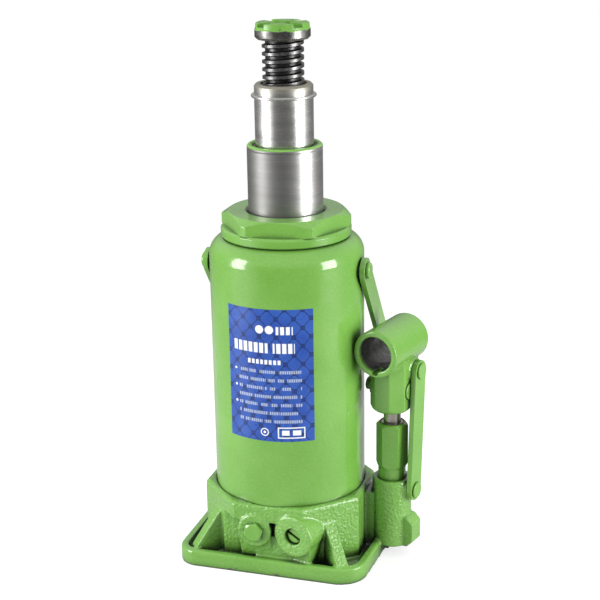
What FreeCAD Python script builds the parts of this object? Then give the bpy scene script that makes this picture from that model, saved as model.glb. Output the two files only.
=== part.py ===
import FreeCAD, Part
import math
import os
import re
import Sketcher

# Two-stage hydraulic bottle jack with a top extension screw.
# Frame: origin on the ram axis at ground level, +Z up, -Y towards the operator,
# pump at +X. All sizes are millimetres and degrees.

V = FreeCAD.Vector
Z_AXIS = V(0, 0, 1)

SIZES = {
    # base casting
    "plate_left": 59.0,
    "plate_right_front": 57.0,
    "plate_right_back": 63.0,
    "plate_front": 50.7,
    "plate_back": 50.0,
    "plate_corner": 13.0,
    "plate_nose": 17.0,
    "plate_edge": 1.6,
    "plate_high": 10.0,
    "floor_high": 4.5,
    "rim_wide": 4.6,
    "rib_thick": 8.4,
    "rib_in": 40.0,
    "rib_out": 66.0,
    "boss_top": 44.4,
    "boss_corner_r": 53.0,
    "boss_round_r": 52.6,
    "boss_front": 47.6,
    "boss_edge": 2.5,
    "seat_r": 46.05,
    "seat_floor": 38.0,
    "tank_floor": 36.0,
    "foot_seat": 34.0,
    "web_wide": 15.0,
    "web_top": 40.0,
    "hollow_left": 33.0,
    "hollow_right": 34.0,
    "hollow_back": 38.0,
    "hollow_top": 33.5,
    "bridge_front": 45.5,
    "bridge_top": 24.0,
    "bridge_back": 42.5,
    # reservoir and pressure cylinder
    "tank_r": 46.0,
    "tank_wall": 3.2,
    "tank_foot": 39.0,
    "tank_top": 200.0,
    "shoulder_r": 11.0,
    "tank_mouth_r": 34.0,
    "barrel_r": 30.0,
    "barrel_bore_r": 25.0,
    "barrel_foot": 35.0,
    "filler_high": 158.0,
    "filler_hole_r": 5.0,
    # top nut
    "nut_ring_r": 38.6,
    "nut_ring_top": 206.0,
    "nut_top": 215.0,
    "nut_flats": 68.6,
    "nut_corner_r": 38.5,
    "nut_turn": -52.5,
    "gland_foot": 188.0,
    "gland_bore_r": 22.6,
    # rams
    "outer_r": 22.15,
    "outer_bore_r": 19.3,
    "outer_neck_r": 17.18,
    "outer_mouth_r": 19.2,
    "outer_foot": 88.5,
    "outer_top": 254.0,
    "outer_piston_r": 24.92,
    "inner_r": 17.1,
    "inner_bore_r": 13.0,
    "inner_neck_r": 12.35,
    "inner_foot": 128.0,
    "inner_top": 289.0,
    "inner_piston_r": 19.22,
    "catch_low": 281.2,
    "catch_high": 1.7,
    "catch_r": 18.9,
    # extension screw and saddle
    "screw_r": 12.05,
    "thread_root_r": 10.2,
    "thread_pitch": 4.4,
    "screw_foot": 225.0,
    "screw_ring_low": 227.0,
    "saddle_low": 314.0,
    "saddle_top": 323.4,
    "saddle_r": 16.0,
    "saddle_face_r": 14.9,
    "groove_half": 3.0,
    "groove_deep": 2.3,
    "groove_turn": -37.0,
    # pump
    "pump_x": 64.0,
    "pump_y": 3.0,
    "pump_turn": -15.0,
    "pump_boss_r": 12.0,
    "pump_boss_low": 7.0,
    "pump_boss_top": 50.0,
    "pump_foot": 24.0,
    "collar_r": 8.4,
    "hex_low": 57.0,
    "hex_top": 86.0,
    "hex_flats": 17.0,
    "hex_corner_r": 9.75,
    "plunger_r": 5.2,
    "plunger_bore_r": 5.27,
    "plunger_foot": 30.0,
    "pin_high": 107.5,
    "eye_r": 6.3,
    "eye_half": 4.9,
    # handle socket and link
    "tube_high": 135.0,
    "tube_r": 14.2,
    "tube_bore_r": 10.75,
    "tube_front": 22.0,
    "tube_rear": 19.5,
    "block_low": 94.5,
    "block_r": 11.7,
    "top_pin_back": 6.0,
    "top_pin_high": 119.0,
    "low_pin_back": 1.0,
    "low_pin_high": 43.5,
    "link_in": 13.0,
    "link_thick": 3.0,
    "link_half": 6.5,
    "link_pin_r": 3.5,
    "link_free_r": 4.6,
    "pin_r": 4.0,
    "pin_tip": 16.3,
    "split_out": 14.5,
    # valves and oil ways in the base
    "valve_x": 15.95,
    "valve_y": -50.2,
    "valve_high": 27.4,
    "valve_boss_r": 12.9,
    "valve_bore_r": 5.2,
    "valve_deep": 20.0,
    "valve_seat_r": 2.0,
    "valve_ball_r": 3.2,
    "front_boss_deep": 22.0,
    "pillar_lean": 6.2,
    "valve_foot": 7.9,
    "relief_foot": 9.8,
    "relief_x": -8.3,
    "relief_y": -49.2,
    "relief_high": 27.7,
    "relief_boss_r": 10.4,
    "relief_flats": 10.6,
    "relief_thread_r": 4.0,
    "relief_deep": 13.0,
    "coil_pitch": 1.4,
    "coil_long": 4.6,
    "coil_r": 2.4,
    "coil_wire_r": 0.45,
    "ball_r": 2.5,
    "ball_room": 0.4,
    "oil_way_r": 1.5,
    "ball_seat_r": 1.8,
    "suction_high": 13.0,
    "suction_seat": 17.0,
    "delivery_high": 21.0,
    "delivery_seat": 25.0,
    "drop_out": 38.1,
    # carry handle
    "bail_y": -2.0,
    "bail_high": 181.0,
    "bail_in": 47.0,
    "bail_thick": 2.8,
    "bail_half": 7.5,
    "bail_arm": 90.0,
    "bail_lean": 38.5,
    # label
    "label_low": 86.0,
    "label_high": 81.0,
    "label_mid": -87.2,
    "label_span": 66.2,
    "label_thick": 0.15,
}

doc = FreeCAD.newDocument("bottle_jack")
sheet = doc.addObject("Spreadsheet::Sheet", "dims")
for row, (alias, number) in enumerate(SIZES.items(), 1):
    sheet.set(f"A{row}", alias)
    sheet.set(f"B{row}", str(number))
    sheet.setAlias(f"B{row}", alias)
doc.recompute()

parts = []


# ---------------------------------------------------------------- helpers


def bound(text):
    """Expression in which every alias is read from the sheet."""
    return re.sub(r"[a-z_]\w*", lambda m: f"dims.{m[0]}" if m[0] in SIZES else m[0], str(text))


def size(text):
    """Number an expression stands for."""
    return float(sheet.evalExpression(bound(text)))


def keep(thing, label):
    """Name a finished sub-part and put it on the list to write."""
    thing.Label = label
    parts.append(thing)
    return thing


def origin_plane(body, role):
    return next(f for f in body.Origin.OriginFeatures if f.Role == role)


def sketch(body, role="XZ_Plane", lift=None):
    """Empty sketch on one of the body's own planes, moved off it by lift."""
    flat = body.newObject("Sketcher::SketchObject", "sketch")
    flat.AttachmentSupport = [(origin_plane(body, role), "")]
    flat.MapMode = "FlatFace"
    if lift is not None:
        flat.setExpression("AttachmentOffset.Base.z", bound(lift))
    return flat


def outline(flat, points):
    """Closed polygon whose corners are placed by expressions."""
    first = flat.GeometryCount
    places = [(size(a), size(b)) for a, b in points]
    count = len(points)
    for i, (a, b) in enumerate(places):
        c, d = places[(i + 1) % count]
        flat.addGeometry(Part.LineSegment(V(a, b, 0), V(c, d, 0)), False)
    for i in range(count):
        after = first + (i + 1) % count
        flat.addConstraint(Sketcher.Constraint("Coincident", first + i, 2, after, 1))
    for i, pair in enumerate(points):
        for kind, text, place in zip(("DistanceX", "DistanceY"), pair, places[i]):
            corner = Sketcher.Constraint(kind, -1, 1, first + i, 1, place)
            number = flat.addConstraint(corner)
            if bound(text) != str(text):
                flat.setExpression(f"Constraints[{number}]", bound(text))


def ring(flat, radius):
    """Circle about the sketch's origin."""
    number = flat.addGeometry(Part.Circle(V(0, 0, 0), Z_AXIS, size(radius)), False)
    flat.addConstraint(Sketcher.Constraint("Coincident", number, 3, -1, 1))
    rule = flat.addConstraint(Sketcher.Constraint("Radius", number, size(radius)))
    if bound(radius) != str(radius):
        flat.setExpression(f"Constraints[{rule}]", bound(radius))


def turned(label, points):
    """Body turned about its Z axis from (radius, height) corners."""
    body = doc.addObject("PartDesign::Body", label)
    flat = sketch(body)
    outline(flat, points)
    spin = body.newObject("PartDesign::Revolution", "turning")
    spin.Profile = flat
    spin.ReferenceAxis = (flat, ["V_Axis"])
    spin.Angle = 360
    doc.recompute()
    return body


def tube(label, inner, outer, low, high):
    return turned(label, [(inner, low), (outer, low), (outer, high), (inner, high)])


def hexagon(flats, turn):
    """Corner expressions of a hexagon with the given width across flats."""
    corners = []
    for k in range(6):
        reach = f"{flats} / 2 / cos(30)"
        angle = f"({turn} + {60 * k})"
        corners.append((f"{reach} * cos{angle}", f"{reach} * sin{angle}"))
    return corners


def cut_flats(body, flats, turn, low, high):
    """Mill six flats on a turned body between two heights."""
    before = body.Shape.Volume
    flat = sketch(body, "XY_Plane", low)
    outline(flat, hexagon(flats, turn))
    ring(flat, "2 * tank_r")
    mill = body.newObject("PartDesign::Pocket", "flats")
    mill.Profile = flat
    mill.setExpression("Length", bound(f"{high} - {low}"))
    mill.Reversed = True
    doc.recompute()
    if body.Shape.Volume > before - 1:
        raise RuntimeError(f"{body.Name}: the flats cut nothing")


def solid(kind, sizes, at=(0, 0, 0), turn=None, label="tool"):
    """Part primitive with its sizes bound to the sheet."""
    thing = doc.addObject(f"Part::{kind}", label)
    for prop, text in sizes.items():
        thing.setExpression(prop, bound(text))
    where = V(*(size(a) for a in at))
    thing.Placement = FreeCAD.Placement(where, turn or FreeCAD.Rotation())
    return thing


def box(x0, x1, y0, y1, z0, z1):
    """Box between pairs of expressions."""
    sizes = {"Length": f"({x1}) - ({x0})", "Width": f"({y1}) - ({y0})", "Height": f"({z1}) - ({z0})"}
    return solid("Box", sizes, (x0, y0, z0))


def rod(radius, low, high, x=0, y=0):
    """Upright cylinder between two heights."""
    return solid("Cylinder", {"Radius": radius, "Height": f"({high}) - ({low})"}, (x, y, low))


def side_rod(radius, long, at, direction):
    """Cylinder lying along a direction."""
    turn = FreeCAD.Rotation(Z_AXIS, V(*direction))
    return solid("Cylinder", {"Radius": radius, "Height": long}, at, turn)


def fuse(*things):
    joined = doc.addObject("Part::MultiFuse", "fused")
    joined.Shapes = list(things)
    return joined


def common(*things):
    shared = doc.addObject("Part::MultiCommon", "common")
    shared.Shapes = list(things)
    return shared


def cut(stock, *tools):
    left = doc.addObject("Part::Cut", "cut")
    left.Base = stock
    left.Tool = fuse(*tools) if len(tools) > 1 else tools[0]
    return left


def rounded(thing, radius, wanted):
    """Fillet on the edges for which wanted(edge) holds."""
    doc.recompute()
    r = size(radius)
    edges = [(i, r, r) for i, e in enumerate(thing.Shape.Edges, 1) if wanted(e)]
    if not edges:
        raise RuntimeError(f"{thing.Name}: no edge to round")
    soft = doc.addObject("Part::Fillet", "rounded")
    soft.Base = thing
    soft.Edges = edges
    return soft


def upright(edge):
    ends = [v.Point for v in edge.Vertexes]
    return len(ends) == 2 and (ends[0] - ends[1]).cross(Z_AXIS).Length < 1e-6


def level_at(height):
    """Test for edges that lie level at one height."""
    high = size(height)
    return lambda e: abs(e.BoundBox.ZMin - high) < 1e-4 and abs(e.BoundBox.ZMax - high) < 1e-4


def flat_at(x):
    """Test for edges that lie in one plane across X."""
    return lambda e: abs(e.BoundBox.XMin - x) < 1e-4 and e.BoundBox.XLength < 1e-4


def place(thing, x=0, y=0, z=0, turn=0):
    """Move a finished thing and turn it about Z."""
    where = V(size(x), size(y), size(z))
    thing.Placement = FreeCAD.Placement(where, FreeCAD.Rotation(Z_AXIS, size(turn)))
    return thing


def at_pump(thing):
    """From the pump's own frame (X across, -Y forward) into the jack's."""
    return place(thing, "pump_x", "pump_y", 0, "pump_turn")


def pump_tool(thing):
    """The same move for a primitive that already has a place."""
    frame = FreeCAD.Placement(
        V(size("pump_x"), size("pump_y"), 0), FreeCAD.Rotation(Z_AXIS, size("pump_turn"))
    )
    thing.Placement = frame.multiply(thing.Placement)
    return thing


def heading():
    """Outward direction of the release valve and of the handle socket."""
    turn = math.radians(size("pump_turn"))
    return V(math.sin(turn), -math.cos(turn), 0)


# ---------------------------------------------------------------- base casting


def tapered(low, high, inset):
    """Four-sided block, wider at the back, drawn in by inset on every side."""
    sizes = {
        "Xmin": f"-plate_left + {inset}",
        "Xmax": f"plate_right_front - {inset}",
        "Ymin": f"-plate_front + {inset}",
        "Ymax": f"plate_back - {inset}",
        "Zmin": low,
        "Zmax": high,
        "X2min": f"-plate_left + {inset}",
        "X2max": f"plate_right_back - {inset}",
        "Z2min": low,
        "Z2max": high,
    }
    block = solid("Wedge", sizes)
    block = rounded(block, f"plate_nose - {inset}", lambda e: upright(e) and at_nose(e))
    return rounded(block, f"plate_corner - {inset}", lambda e: upright(e) and not at_nose(e))


def at_nose(edge):
    """Whether an edge belongs to the front corner on the pump's side."""
    middle = edge.BoundBox.Center
    return middle.x > 0 and middle.y < 0


def plate():
    """Ground plate with a raised rim round a lower floor."""
    outer = rounded(tapered(0, "plate_high", 0), "plate_edge", level_at("plate_high"))
    return cut(outer, tapered("floor_high", "plate_high + 1", "rim_wide"))


def boss():
    """Eight-sided centre boss, hollow at the front under its belt."""
    turn = FreeCAD.Rotation(Z_AXIS, 22.5)
    sizes = {"Circumradius": "boss_corner_r", "Height": "boss_top"}
    prism = solid("Prism", sizes, (0, 0, 0), turn)
    prism.Polygon = 8
    sizes = {"Radius1": "boss_round_r + 2", "Radius2": "boss_round_r", "Height": "boss_top"}
    far = "boss_corner_r + 2"
    face = box(f"-({far})", far, f"-({far})", "-boss_front", -1, "boss_top + 1")
    shape = cut(common(prism, solid("Cone", sizes)), face)
    shape = rounded(shape, "boss_edge", level_at("boss_top"))
    hollow = ("-hollow_left", "hollow_right", f"-({far})", "-hollow_back", "floor_high", "hollow_top")
    return cut(shape, box(*hollow))


def rib(angle):
    """Corner gusset that falls from the boss to the plate corner."""
    sizes = {
        "Xmin": "-rib_thick / 2",
        "Xmax": "rib_thick / 2",
        "Ymin": "rib_in",
        "Ymax": "rib_out",
        "Zmin": "0",
        "Zmax": "boss_top",
        "X2min": "-rib_thick / 2 + 0.6",
        "X2max": "rib_thick / 2 - 0.6",
        "Z2min": "0",
        "Z2max": "plate_high",
    }
    return solid("Wedge", sizes, turn=FreeCAD.Rotation(Z_AXIS, angle - 90))


def front_boss(x, y, high, radius, foot, direction):
    """Round valve boss with the tapering pillar of metal under it."""
    lying = FreeCAD.Rotation(V(1, 0, 0), -90)
    drum = solid("Cylinder", {"Radius": radius, "Height": "front_boss_deep"}, (0, 0, high), lying)
    drum = rounded(drum, "1.0", lambda e: e.BoundBox.YLength < 1e-4 and e.BoundBox.YMin < 1)
    sizes = {
        "Xmin": f"-{foot}",
        "Xmax": foot,
        "Ymin": "floor_high - 1",
        "Ymax": high,
        "Zmin": "-front_boss_deep",
        "Zmax": "-pillar_lean",
        "X2min": f"-{radius} + 0.4",
        "X2max": f"{radius} - 0.4",
        "Z2min": "-front_boss_deep",
        "Z2max": "-0.3",
    }
    pillar = solid("Wedge", sizes, turn=FreeCAD.Rotation(V(1, 0, 0), 90))
    both = fuse(drum, pillar)
    turn = FreeCAD.Rotation(Z_AXIS, direction)
    both.Placement = FreeCAD.Placement(V(size(x), size(y), 0), turn)
    return both


def bridge():
    """Wall between the two valve pillars, set back in its upper part."""
    back = "-hollow_back + 1"
    low = box("relief_x", "valve_x", "-bridge_front", back, "floor_high - 1", "bridge_top")
    top = "hollow_top + 1"
    return fuse(low, box("relief_x", "valve_x", "-bridge_back", back, "bridge_top - 1", top))


def pump_boss():
    """Upright pump boss, the web behind it, its valve lug and the link pad."""
    stem = rod("pump_boss_r", "pump_boss_low", "pump_boss_top")
    stem = rounded(stem, "1.2", level_at("pump_boss_top"))
    at_pump(stem)
    half = "web_wide / 2"
    web = box("40", "pump_x", f"pump_y - {half}", f"pump_y + {half}", "floor_high - 1", "web_top")
    lug = box("4", "17.2", "-5.7", "5.7", "pump_boss_low", "26.5")
    lug = chamfered_lug(lug)
    pad = side_rod("link_half", "7.8", (5, "low_pin_back", "low_pin_high"), (1, 0, 0))
    return fuse(stem, web, pump_tool(lug), pump_tool(pad))


def chamfered_lug(lug):
    """Bevels on the lug's level outer edges."""
    doc.recompute()
    far = size("17.2")
    edges = []
    for i, e in enumerate(lug.Shape.Edges, 1):
        level = e.BoundBox.ZLength < 1e-6 and e.BoundBox.XLength < 1e-6
        if level and abs(e.BoundBox.XMin - far) < 1e-6:
            edges.append((i, 4.0, 4.0))
    worn = doc.addObject("Part::Chamfer", "lug")
    worn.Base = lug
    worn.Edges = edges
    return worn


def towards_ram(x, y):
    """Level direction from a place to the ram axis."""
    return (-size(x), -size(y), 0)


def seats():
    """Seats of the tank, the pressure cylinder and the pump."""
    tools = [rod("seat_r", "seat_floor", "boss_top + 1")]
    tools.append(rod("tank_r - tank_wall - 1.3", "tank_floor", "boss_top + 1"))
    tools.append(rod("barrel_r + 0.05", "foot_seat", "boss_top + 1"))
    tools.append(rod("collar_r + 0.05", "pump_foot", "pump_boss_top + 1", "pump_x", "pump_y"))
    hole = side_rod("link_pin_r", "4", (9.2, "low_pin_back", "low_pin_high"), (1, 0, 0))
    tools.append(pump_tool(hole))
    return tools


def pump_ways():
    """Oil ways of the two check valves, between tank, pump and ram."""
    room = "ball_r + ball_room"
    reach = "sqrt(pump_x^2 + pump_y^2)"
    inward = towards_ram("pump_x", "pump_y")
    tools = [rod("ball_seat_r", "delivery_high - 1", "delivery_seat + 0.1")]
    tools.append(rod(room, "delivery_seat", "foot_seat + 1"))
    tools.append(rod("ball_seat_r", "suction_high - 1", "suction_seat + 0.1", "pump_x", "pump_y"))
    tools.append(rod(room, "suction_seat", "pump_foot + 1", "pump_x", "pump_y"))
    tools.append(side_rod("oil_way_r", reach, ("pump_x", "pump_y", "delivery_high"), inward))
    long = f"{reach} - drop_out"
    tools.append(side_rod("ball_seat_r", long, ("pump_x", "pump_y", "suction_high"), inward))
    drop = (f"pump_x * drop_out / {reach}", f"pump_y * drop_out / {reach}")
    tools.append(rod("ball_seat_r", "suction_high - 1", "tank_floor + 1", *drop))
    return tools


def release_ways():
    """Bore and seat of the release valve, its pressure way and its drain."""
    inward = -heading()
    mouth = V(size("valve_x"), size("valve_y"), size("valve_high"))
    seat = mouth + inward * size("valve_deep - 0.5")
    far = mouth + inward * size("valve_deep + 4")
    drain = mouth + inward * size("valve_deep - 4.5")
    tools = [side_rod("valve_bore_r", "valve_deep", mouth, inward)]
    tools.append(side_rod("valve_seat_r", "6", seat, inward))
    level = math.hypot(far.x, far.y)
    tools.append(side_rod("oil_way_r", level, far, towards_ram(far.x, far.y)))
    tools.append(rod("oil_way_r", "valve_high", "tank_floor + 1", drain.x, drain.y))
    return tools


def relief_ways():
    """Bore of the relief valve, its pressure way and its drain."""
    deep = "relief_y - 0.5 + relief_deep + 0.5"
    back = (0, 1, 0)
    front = ("relief_x", "relief_y - 0.5", "relief_high")
    tools = [side_rod("relief_thread_r + 0.05", "relief_deep + 0.5", front, back)]
    tools.append(side_rod("oil_way_r", "8", ("relief_x", f"{deep} - 1", "relief_high"), back))
    far = ("relief_x", f"{deep} + 6", "relief_high")
    level = f"sqrt(relief_x^2 + ({deep} + 6)^2)"
    tools.append(side_rod("oil_way_r", level, far, towards_ram("relief_x", f"{deep} + 6")))
    tools.append(rod("oil_way_r", "relief_high", "tank_floor + 1", "relief_x", f"{deep} - 2.5"))
    return tools


def base_casting():
    ribs = [rib(a) for a in (-45, 43, 138, -138)]
    spot, turn = ("valve_x", "valve_y", "valve_high"), size("pump_turn")
    valve = front_boss(*spot, "valve_boss_r", "valve_foot", turn)
    spot = ("relief_x", "relief_y", "relief_high")
    relief = front_boss(*spot, "relief_boss_r", "relief_foot", 0)
    metal = fuse(plate(), boss(), *ribs, valve, relief, bridge(), pump_boss())
    tools = seats() + pump_ways() + release_ways() + relief_ways()
    keep(cut(metal, *tools), "base_casting")


# ---------------------------------------------------------------- reservoir


def reservoir():
    wall = "tank_r - tank_wall"
    lid = "tank_top - tank_wall"
    body = turned(
        "shell",
        [
            (wall, "tank_foot"),
            ("tank_r", "tank_foot"),
            ("tank_r", "tank_top"),
            ("tank_mouth_r", "tank_top"),
            ("tank_mouth_r", lid),
            (wall, lid),
        ],
    )
    round_rims(body, [("tank_r", "tank_top", "shoulder_r"), (wall, lid, "shoulder_r - tank_wall")])
    hole = side_rod("filler_hole_r", "10", (0, "tank_r - 7", "filler_high"), (0, 1, 0))
    studs = [side_rod("pin_r", "6", ("-tank_r - 1", "bail_y", "bail_high"), (1, 0, 0))]
    studs.append(side_rod("pin_r", "6", ("tank_r - 5", "bail_y", "bail_high"), (1, 0, 0)))
    keep(cut(body, hole, *studs), "reservoir_tube")
    keep(tube("tank_gasket", wall, "tank_r", "seat_floor", "tank_foot"), "reservoir_gasket")


def round_rims(body, rims):
    """Fillets on circular edges, each given as radius, height and fillet."""
    for radius, high, soft in rims:
        tip = body.Tip
        names = []
        for i, e in enumerate(tip.Shape.Edges, 1):
            circle = e.BoundBox.ZLength < 1e-4 and abs(e.BoundBox.XMax - size(radius)) < 1e-3
            if circle and abs(e.BoundBox.ZMin - size(high)) < 1e-4:
                names.append(f"Edge{i}")
        soften = body.newObject("PartDesign::Fillet", "soft_rim")
        soften.Base = (tip, names)
        soften.setExpression("Radius", bound(soft))
        doc.recompute()


def pressure_cylinder():
    barrel = tube("barrel", "barrel_bore_r", "barrel_r", "barrel_foot", "tank_top")
    keep(barrel, "pressure_cylinder")
    gasket = tube("foot_gasket", "barrel_bore_r + 0.6", "barrel_r", "foot_seat", "barrel_foot")
    keep(gasket, "cylinder_gasket")


def top_nut():
    body = turned(
        "nut",
        [
            ("gland_bore_r", "gland_foot + 1"),
            ("gland_bore_r + 1", "gland_foot"),
            ("barrel_bore_r - 0.05", "gland_foot"),
            ("barrel_bore_r - 0.05", "tank_top"),
            ("barrel_r + 0.05", "tank_top"),
            ("barrel_r + 0.05", "gland_foot"),
            ("tank_mouth_r - 0.2", "gland_foot"),
            ("tank_mouth_r - 0.2", "tank_top"),
            ("nut_ring_r - 0.8", "tank_top"),
            ("nut_ring_r", "tank_top + 0.8"),
            ("nut_ring_r", "nut_ring_top - 1.2"),
            ("nut_ring_r - 1.2", "nut_ring_top"),
            ("nut_corner_r", "nut_ring_top"),
            ("nut_corner_r", "nut_top - 3.2"),
            ("nut_corner_r - 4.6", "nut_top"),
            ("gland_bore_r + 1.4", "nut_top"),
            ("gland_bore_r", "nut_top - 1.4"),
            ("gland_bore_r", "nut_top - 2"),
            ("barrel_bore_r", "nut_top - 2"),
            ("barrel_bore_r", "nut_top - 5"),
            ("gland_bore_r", "nut_top - 5"),
            ("gland_bore_r", "tank_top + 7"),
            ("barrel_bore_r + 1", "tank_top + 7"),
            ("barrel_bore_r + 1", "tank_top + 2"),
            ("gland_bore_r", "tank_top + 2"),
        ],
    )
    cut_flats(body, "nut_flats", "nut_turn", "nut_ring_top", "nut_top + 1")
    keep(body, "top_nut")
    seal = tube("seal", "outer_r + 0.05", "barrel_bore_r + 1", "tank_top + 2", "tank_top + 7")
    keep(seal, "rod_seal")
    wiper = tube("wiper", "outer_r + 0.08", "barrel_bore_r", "nut_top - 5", "nut_top - 2")
    keep(wiper, "rod_wiper")


# ---------------------------------------------------------------- rams


def outer_ram():
    body = turned(
        "outer",
        [
            ("outer_bore_r", "outer_foot + 8"),
            ("outer_r", "outer_foot + 8"),
            ("outer_r", "outer_top - 2.6"),
            ("outer_r - 0.35", "outer_top - 2.4"),
            ("outer_r", "outer_top - 2.0"),
            ("outer_r", "outer_top - 1.0"),
            ("outer_r - 1.0", "outer_top"),
            ("outer_mouth_r + 0.5", "outer_top"),
            ("outer_mouth_r", "outer_top - 0.6"),
            ("outer_mouth_r", "outer_top - 3.2"),
            ("outer_neck_r", "outer_top - 3.2"),
            ("outer_neck_r", "outer_top - 12"),
            ("outer_bore_r", "outer_top - 12"),
        ],
    )
    keep(body, "outer_ram")
    head = turned(
        "outer_head",
        [
            ("3", "outer_foot"),
            ("outer_piston_r - 0.8", "outer_foot"),
            ("outer_piston_r", "outer_foot + 0.8"),
            ("outer_piston_r", "outer_foot + 2.5"),
            ("outer_piston_r - 2", "outer_foot + 2.5"),
            ("outer_piston_r - 2", "outer_foot + 6"),
            ("outer_piston_r", "outer_foot + 6"),
            ("outer_piston_r", "outer_foot + 14"),
            ("outer_r", "outer_foot + 14"),
            ("outer_r", "outer_foot + 8"),
            ("3", "outer_foot + 8"),
        ],
    )
    keep(head, "outer_ram_piston")
    low, high = "outer_foot + 2.5", "outer_foot + 6"
    seal = tube("outer_seal", "outer_piston_r - 2", "outer_piston_r + 0.03", low, high)
    keep(seal, "outer_piston_seal")


def inner_ram():
    body = turned(
        "inner",
        [
            ("0", "inner_foot"),
            ("inner_piston_r - 0.6", "inner_foot"),
            ("inner_piston_r", "inner_foot + 0.6"),
            ("inner_piston_r", "inner_foot + 3"),
            ("inner_r + 0.5", "inner_foot + 3"),
            ("inner_r + 0.5", "inner_foot + 6"),
            ("inner_piston_r", "inner_foot + 6"),
            ("inner_piston_r", "inner_foot + 10"),
            ("inner_r", "inner_foot + 10"),
            ("inner_r", "catch_low"),
            ("inner_r - 0.8", "catch_low"),
            ("inner_r - 0.8", "catch_low + catch_high"),
            ("inner_r", "catch_low + catch_high"),
            ("inner_r", "inner_top - 1.3"),
            ("inner_r - 1.3", "inner_top"),
            ("inner_neck_r + 1.2", "inner_top"),
            ("inner_neck_r + 1.0", "inner_top - 0.3"),
            ("inner_neck_r + 1.0", "inner_top - 3.2"),
            ("inner_neck_r", "inner_top - 3.2"),
            ("inner_neck_r", "inner_top - 24"),
            ("inner_bore_r", "inner_top - 24"),
            ("inner_bore_r", "inner_foot + 8"),
            ("0", "inner_foot + 8"),
        ],
    )
    keep(body, "inner_ram")
    low, high = "inner_foot + 3", "inner_foot + 6"
    seal = tube("inner_seal", "inner_r + 0.5", "inner_piston_r + 0.03", low, high)
    keep(seal, "inner_piston_seal")
    catch = turned(
        "catch",
        [
            ("inner_r - 0.8", "catch_low"),
            ("catch_r - 0.5", "catch_low"),
            ("catch_r", "catch_low + 0.5"),
            ("catch_r", "catch_low + catch_high - 0.5"),
            ("catch_r - 0.5", "catch_low + catch_high"),
            ("inner_r - 0.8", "catch_low + catch_high"),
        ],
    )
    gap = box("-1", "1", "0", "tank_r", "catch_low - 1", "catch_low + catch_high + 1")
    keep(cut(catch, gap), "inner_stop_ring")


def extension_screw():
    """Screw with a single right-hand trapezoidal thread."""
    groove_r = "thread_root_r + 0.3"
    body = turned(
        "screw",
        [
            ("0", "screw_foot"),
            (groove_r, "screw_foot"),
            ("screw_r - 0.3", "screw_foot + 1"),
            ("screw_r - 0.3", "screw_ring_low - 0.05"),
            (groove_r, "screw_ring_low - 0.05"),
            (groove_r, "screw_ring_low + 2.05"),
            ("screw_r", "screw_ring_low + 2.05"),
            ("screw_r", "saddle_low - 1.2"),
            ("thread_root_r", "saddle_low - 0.6"),
            ("thread_root_r", "saddle_low"),
            ("7", "saddle_low"),
            ("7", "saddle_low + 7"),
            ("0", "saddle_low + 7"),
        ],
    )
    flat = sketch(body)
    low = "screw_ring_low + 8"
    outline(
        flat,
        [
            ("thread_root_r", f"{low} - thread_pitch * 0.16"),
            ("screw_r + 0.4", f"{low} - thread_pitch * 0.34"),
            ("screw_r + 0.4", f"{low} + thread_pitch * 0.34"),
            ("thread_root_r", f"{low} + thread_pitch * 0.16"),
        ],
    )
    before = body.Shape.Volume
    thread = body.newObject("PartDesign::SubtractiveHelix", "thread")
    thread.Profile = flat
    thread.ReferenceAxis = (flat, ["V_Axis"])
    thread.Mode = "pitch-height-angle"
    thread.setExpression("Pitch", bound("thread_pitch"))
    thread.setExpression("Height", bound(f"saddle_low + 2 - ({low})"))
    doc.recompute()
    if body.Shape.Volume > before - 100:
        raise RuntimeError("the thread cut nothing")
    keep(body, "extension_screw")
    ring_low, ring_high = "screw_ring_low", "screw_ring_low + 2"
    catch = tube("screw_ring", f"{groove_r} + 0.05", "inner_bore_r - 0.2", ring_low, ring_high)
    keep(catch, "screw_stop_ring")


def saddle():
    """Load cap with a cross of grip grooves on its face."""
    body = turned(
        "cap",
        [
            ("0", "saddle_low + 7"),
            ("7", "saddle_low + 7"),
            ("7", "saddle_low"),
            ("saddle_r - 1.4", "saddle_low"),
            ("saddle_r", "saddle_low + 1.4"),
            ("saddle_r", "saddle_top - 3.7"),
            ("saddle_r - 0.4", "saddle_top - 3.3"),
            ("saddle_face_r + 0.4", "saddle_top - 0.5"),
            ("saddle_face_r - 0.4", "saddle_top"),
            ("0", "saddle_top"),
        ],
    )
    tools = []
    floor, over, far = "saddle_top - groove_deep", "saddle_top + 1", "2 * saddle_r"
    for turn in (size("groove_turn"), size("groove_turn") + 90):
        bar = box(f"-{far}", far, "-groove_half", "groove_half", floor, over)
        spin = FreeCAD.Placement(V(0, 0, 0), FreeCAD.Rotation(Z_AXIS, turn))
        bar.Placement = spin.multiply(bar.Placement)
        tools.append(bar)
    keep(cut(body, *tools), "saddle")


# ---------------------------------------------------------------- pump


def pump():
    body = turned(
        "pump_body",
        [
            ("plunger_bore_r", "pump_foot + 0.6"),
            ("collar_r", "pump_foot + 0.6"),
            ("collar_r", "hex_low"),
            ("hex_corner_r - 1.2", "hex_low"),
            ("hex_corner_r", "hex_low + 2.2"),
            ("hex_corner_r", "hex_top - 2.2"),
            ("hex_corner_r - 2.4", "hex_top"),
            ("plunger_r + 1.5", "hex_top"),
            ("plunger_r + 1.5", "hex_top - 4"),
            ("plunger_bore_r", "hex_top - 4"),
        ],
    )
    cut_flats(body, "hex_flats", 20, "hex_low", "hex_top + 1")
    keep(at_pump(body), "pump_cylinder")
    gasket = tube("copper", "plunger_bore_r", "collar_r", "pump_foot", "pump_foot + 0.6")
    keep(at_pump(gasket), "pump_gasket")
    wiper = tube("pump_lip", "plunger_bore_r", "plunger_r + 1.5", "hex_top - 4", "hex_top - 0.4")
    keep(at_pump(wiper), "pump_wiper")


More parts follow.
